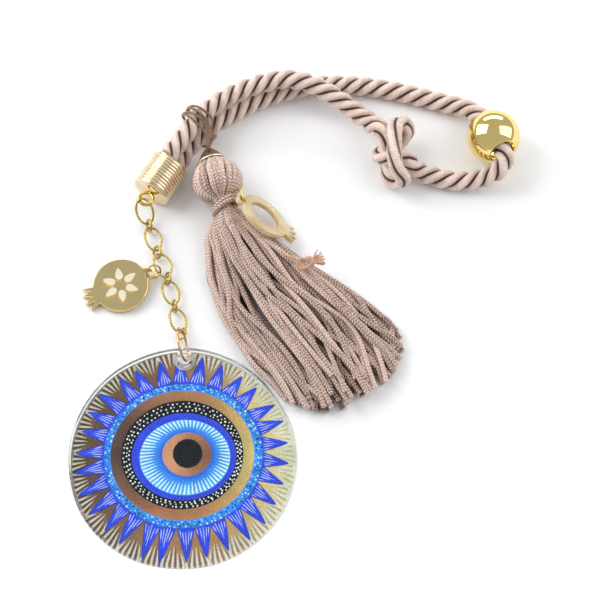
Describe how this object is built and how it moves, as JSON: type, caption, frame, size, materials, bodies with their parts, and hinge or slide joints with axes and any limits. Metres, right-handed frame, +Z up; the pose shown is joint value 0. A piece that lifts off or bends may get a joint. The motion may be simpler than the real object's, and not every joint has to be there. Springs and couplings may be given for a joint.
{
  "type": "evil eye ornament",
  "caption": "Hanging evil eye ornament: a printed clear disc on a short chain and end cap, with a rope loop, a bead, a braided tassel and pomegranate charms.",
  "frame": {"origin": "middle of the footprint of everything but the free rope and its bead, on the surface that the ornament lies on", "axes": "+Y from the disc towards the end cap and the rope loop, +X from the chain towards the tassel skirt, +Z up, away from the surface"},
  "size_m": [0.1629, 0.1946, 0.02],
  "materials": {
    "clear_glass": "clear, polished, hand-cut edge",
    "printed_film": "printed eye seen through the disc",
    "rose_gold": "polished rose gold plate",
    "chain_gold": "diamond-cut gold plate",
    "pale_gold": "polished pale gold plate",
    "bead_gold": "mirror-polished gold plate",
    "antique_gold": "hammered antique gold with a bright rim",
    "satin_rope": "three-ply satin rope",
    "binding": "glued binding thread",
    "brown_cord": "thin twisted cord",
    "braid": "heathered braided cord",
    "peach_thread": "soft thread",
    "mirror_gold": "mirror face with bright gold edges",
    "champagne_acrylic": "translucent champagne acrylic"
  },
  "bodies": {
    "cap_and_rope": {"end_cap": "pale_gold", "cap_eyelet": "chain_gold", "rope_end_core": "binding", "rope_bead_run": "satin_rope", "rope_knot": "satin_rope", "rope_knot_run": "satin_rope", "tassel_hang_loop": "brown_cord"},
    "bead": {"spacer_bead": "bead_gold"},
    "link_1": {"chain_link_1": "chain_gold"},
    "connector_1": {"chain_connector_1": "chain_gold"},
    "link_2": {"chain_link_2": "chain_gold"},
    "connector_2": {"chain_connector_2": "chain_gold"},
    "link_3": {"chain_link_3": "chain_gold"},
    "connector_3": {"chain_connector_3": "chain_gold"},
    "link_4": {"chain_link_4": "chain_gold"},
    "connector_4": {"chain_connector_4": "chain_gold"},
    "link_5": {"chain_link_5": "chain_gold"},
    "connector_5": {"chain_connector_5": "chain_gold"},
    "ring": {"disc_ring": "rose_gold"},
    "disc": {"eye_disc": "clear_glass", "eye_film": "printed_film"},
    "charm_a_ring": {"charm_ring_a": "rose_gold"},
    "charm_a": {"pomegranate_charm": "mirror_gold"},
    "tassel": {"tassel_cone": "antique_gold", "tassel_head": "braid", "neck_tie": "braid", "tassel_skirt": "braid", "tie_knot": "peach_thread"},
    "charm_b_ring": {"charm_ring_b": "chain_gold"},
    "charm_b": {"pomegranate_ring_charm": "champagne_acrylic"}
  },
  "joints": [
    {"name": "bead_spin", "type": "hinge", "parent": "cap_and_rope", "child": "bead", "pos_m": [0.09382, 0.07721, 0.01], "axis": [0.3554, -0.8971, 0.2623], "continuous": true},
    {"name": "link_1_swing", "type": "hinge", "parent": "cap_and_rope", "child": "link_1", "pos_m": [-0.03657, 0.05018, 0.00725], "axis": [0, 0, -1], "range_deg": [0, 20]},
    {"name": "connector_1_fold", "type": "hinge", "parent": "link_1", "child": "connector_1", "pos_m": [-0.03445, 0.04437, 0.00259], "axis": [0.9511, 0.309, 0], "range_deg": [0, 30]},
    {"name": "link_2_swing", "type": "hinge", "parent": "connector_1", "child": "link_2", "pos_m": [-0.03349, 0.04142, 0.00259], "axis": [0, 0, 1], "range_deg": [-25, 0]},
    {"name": "connector_2_fold", "type": "hinge", "parent": "link_2", "child": "connector_2", "pos_m": [-0.03118, 0.03334, 0.00259], "axis": [-0.9397, -0.342, 0], "range_deg": [-30, 0]},
    {"name": "link_3_swing", "type": "hinge", "parent": "connector_2", "child": "link_3", "pos_m": [-0.03012, 0.03043, 0.00259], "axis": [0, 0, -1], "range_deg": [0, 25]},
    {"name": "connector_3_fold", "type": "hinge", "parent": "link_3", "child": "connector_3", "pos_m": [-0.02684, 0.0227, 0.00259], "axis": [0.9903, 0.1392, 0], "range_deg": [0, 30]},
    {"name": "link_4_swing", "type": "hinge", "parent": "connector_3", "child": "link_4", "pos_m": [-0.0264, 0.01963, 0.00259], "axis": [0, 0, 1], "range_deg": [-25, 0]},
    {"name": "connector_4_fold", "type": "hinge", "parent": "link_4", "child": "connector_4", "pos_m": [-0.02409, 0.01155, 0.00259], "axis": [-0.9781, -0.2079, 0], "range_deg": [-30, 0]},
    {"name": "link_5_swing", "type": "hinge", "parent": "connector_4", "child": "link_5", "pos_m": [-0.02344, 0.00852, 0.00259], "axis": [0, 0, -1], "range_deg": [0, 25]},
    {"name": "connector_5_fold", "type": "hinge", "parent": "link_5", "child": "connector_5", "pos_m": [-0.02127, 0.00041, 0.00259], "axis": [0.9848, 0.1736, 0], "range_deg": [0, 30]},
    {"name": "disc_ring_swing", "type": "hinge", "parent": "connector_5", "child": "ring", "pos_m": [-0.02076, -0.00246, 0.00365], "axis": [0.7395, 0.3442, 0.5785], "range_deg": [-10, 20]},
    {"name": "disc_tip", "type": "hinge", "parent": "ring", "child": "disc", "pos_m": [-0.01961, -0.00763, 0.00445], "axis": [-1, 0, 0], "range_deg": [-20, 20]},
    {"name": "charm_a_ring_swing", "type": "hinge", "parent": "link_3", "child": "charm_a_ring", "pos_m": [-0.03141, 0.02603, 0.00259], "axis": [-0.3907, 0.9205, 0], "range_deg": [0, 40]},
    {"name": "charm_a_swing", "type": "hinge", "parent": "charm_a_ring", "child": "charm_a", "pos_m": [-0.03434, 0.02348, 0.00259], "axis": [0, 0, 1], "range_deg": [-35, 0]},
    {"name": "tassel_swing", "type": "hinge", "parent": "cap_and_rope", "child": "tassel", "pos_m": [-0.01278, 0.07191, 0.00975], "axis": [0, 0, 1], "range_deg": [0, 28]},
    {"name": "charm_b_ring_swing", "type": "hinge", "parent": "tassel", "child": "charm_b_ring", "pos_m": [-0.00249, 0.04885, 0.01329], "axis": [-0.6797, -0.1949, 0.7071], "range_deg": [0, 25]},
    {"name": "charm_b_swing", "type": "hinge", "parent": "charm_b_ring", "child": "charm_b", "pos_m": [0.00029, 0.04703, 0.01546], "axis": [-0.4508, -0.6494, -0.6124], "range_deg": [0, 30]}
  ]
}
